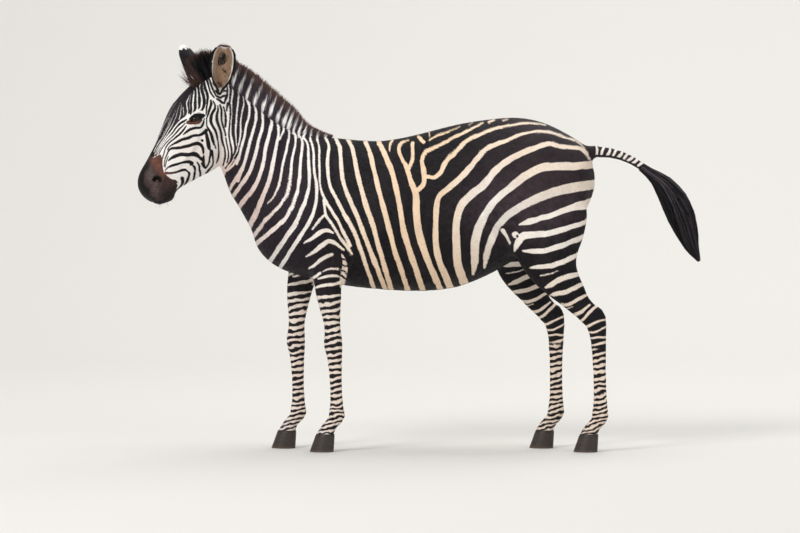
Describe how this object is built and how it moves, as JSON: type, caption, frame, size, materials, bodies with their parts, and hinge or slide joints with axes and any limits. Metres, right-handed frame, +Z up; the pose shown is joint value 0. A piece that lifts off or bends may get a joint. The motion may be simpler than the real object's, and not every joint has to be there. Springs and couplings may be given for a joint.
{
  "type": "zebra",
  "caption": "Life-size plains zebra standing on all fours, head turned a little to its left, tail swung out behind, upright mane.",
  "frame": {"origin": "on the floor, under the middle of the animal's bounding box", "axes": "+X towards the tail, along the body; +Y towards the animal's right; +Z up. The animal faces -X and its head is turned towards -Y"},
  "size_m": [2.2474, 0.5204, 1.6318],
  "materials": {
    "coat": "short flat hair in dark and pale stripes",
    "hair": "long coarse dark hair",
    "eye": "wet gloss",
    "hoof": "dull horn"
  },
  "bodies": {
    "root": {"head": "coat", "neck": "coat", "trunk": "coat", "tail_dock": "coat", "left_front_forearm": "coat", "left_front_cannon": "coat", "right_front_forearm": "coat", "right_front_cannon": "coat", "left_hind_gaskin": "coat", "left_hind_cannon": "coat", "right_hind_gaskin": "coat", "right_hind_cannon": "coat", "left_ear": "coat", "right_ear": "coat", "left_front_hoof": "hoof", "right_front_hoof": "hoof", "left_hind_hoof": "hoof", "right_hind_hoof": "hoof", "left_eye": "eye", "right_eye": "eye", "mane": "hair", "forelock": "hair", "tail_tuft": "hair"}
  },
  "joints": []
}
